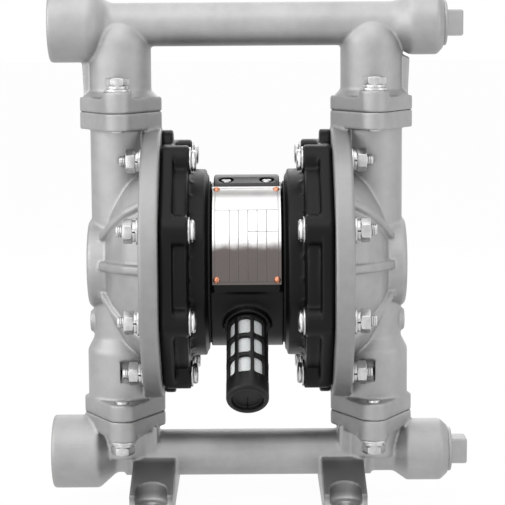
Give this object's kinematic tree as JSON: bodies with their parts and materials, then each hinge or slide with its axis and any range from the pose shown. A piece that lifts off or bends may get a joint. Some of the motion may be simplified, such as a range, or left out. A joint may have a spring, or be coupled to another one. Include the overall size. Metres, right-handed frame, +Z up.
{
  "type": "air operated diaphragm pump",
  "caption": "Stainless steel air operated double diaphragm pump with black air covers, front muffler, ball check valves and threaded side ports.",
  "frame": {"origin": "on the floor under the middle of the pump, midway between the four foot slots", "axes": "+X along the diaphragm shaft towards the plugged ports, -Y towards the muffler and nameplate, +Z up"},
  "size_m": [0.3418, 0.2364, 0.4238],
  "materials": {
    "cast_stainless": "blasted cast stainless steel, satin",
    "bright_steel": "bright stainless fasteners",
    "black_casting": "satin black coated aluminium casting",
    "black_plastic": "moulded black plastic",
    "porous_white": "sintered white plastic",
    "copper": "copper rivets",
    "plate_steel": "bright rolled steel plate, bare",
    "elastomer": "moulded elastomer",
    "ball_plastic": "turned fluoropolymer",
    "bronze": "turned bronze",
    "gasket": "sheet gasket",
    "dark_screws": "small socket screws"
  },
  "bodies": {
    "pump_body": {"air_valve_cover": "black_casting", "centre_block": "black_casting", "inlet_bolt_washers": "bright_steel", "inlet_flange_bolts": "bright_steel", "inlet_manifold": "cast_stainless", "inlet_plug": "cast_stainless", "inlet_seat_o_rings": "elastomer", "left_air_cover": "black_casting", "left_block_gasket": "gasket", "left_chamber_bolts": "bright_steel", "left_chamber_nuts": "bright_steel", "left_cover_screws": "dark_screws", "left_diaphragm": "elastomer", "left_fluid_chamber": "cast_stainless", "left_inlet_seat": "ball_plastic", "left_nut_washers": "bright_steel", "left_outlet_seat": "ball_plastic", "muffler_body": "black_plastic", "muffler_element": "porous_white", "nameplate": "plate_steel", "nameplate_rivets": "copper", "outlet_bolt_washers": "bright_steel", "outlet_flange_bolts": "bright_steel", "outlet_manifold": "cast_stainless", "outlet_plug": "cast_stainless", "outlet_seat_o_rings": "elastomer", "pilot_bushes": "bronze", "right_air_cover": "black_casting", "right_block_gasket": "gasket", "right_chamber_bolts": "bright_steel", "right_chamber_nuts": "bright_steel", "right_cover_screws": "dark_screws", "right_diaphragm": "elastomer", "right_fluid_chamber": "cast_stainless", "right_inlet_seat": "ball_plastic", "right_nut_washers": "bright_steel", "right_outlet_seat": "ball_plastic", "shaft_bushes": "bronze", "shaft_seals": "elastomer", "valve_cover_gasket": "gasket", "valve_cover_screws": "dark_screws", "valve_end_caps": "black_casting", "valve_sleeve": "bronze"},
    "shaft_assembly": {"diaphragm_shaft": "bright_steel", "left_inner_plate": "bright_steel", "right_inner_plate": "bright_steel", "left_outer_plate": "bright_steel", "right_outer_plate": "bright_steel"},
    "pilot_rod": {"pilot_rod": "bright_steel"},
    "spool": {"valve_spool": "bright_steel", "spool_seals": "elastomer"},
    "left_outlet_check": {"left_outlet_ball": "ball_plastic"},
    "left_inlet_check": {"left_inlet_ball": "ball_plastic"},
    "right_outlet_check": {"right_outlet_ball": "ball_plastic"},
    "right_inlet_check": {"right_inlet_ball": "ball_plastic"}
  },
  "joints": [
    {"name": "shaft_stroke", "type": "slide", "parent": "pump_body", "child": "shaft_assembly", "axis": [1, 0, 0], "range_m": [-0.01, 0.01], "stiffness_N_per_m": 2000, "deforming": ["left_diaphragm", "right_diaphragm"]},
    {"name": "pilot_shift", "type": "slide", "parent": "pump_body", "child": "pilot_rod", "axis": [1, 0, 0], "range_m": [-0.004, 0.004]},
    {"name": "spool_shift", "type": "slide", "parent": "pump_body", "child": "spool", "axis": [1, 0, 0], "range_m": [0, 0.012]},
    {"name": "left_outlet_ball_lift", "type": "slide", "parent": "pump_body", "child": "left_outlet_check", "axis": [0, 0, 1], "range_m": [0, 0.01]},
    {"name": "left_inlet_ball_lift", "type": "slide", "parent": "pump_body", "child": "left_inlet_check", "axis": [0, 0, 1], "range_m": [0, 0.01]},
    {"name": "right_outlet_ball_lift", "type": "slide", "parent": "pump_body", "child": "right_outlet_check", "axis": [0, 0, 1], "range_m": [0, 0.01]},
    {"name": "right_inlet_ball_lift", "type": "slide", "parent": "pump_body", "child": "right_inlet_check", "axis": [0, 0, 1], "range_m": [0, 0.01]}
  ],
  "couplings": [
    {"joint": "pilot_shift", "follows": "shaft_stroke", "ratio": 0.4}
  ]
}
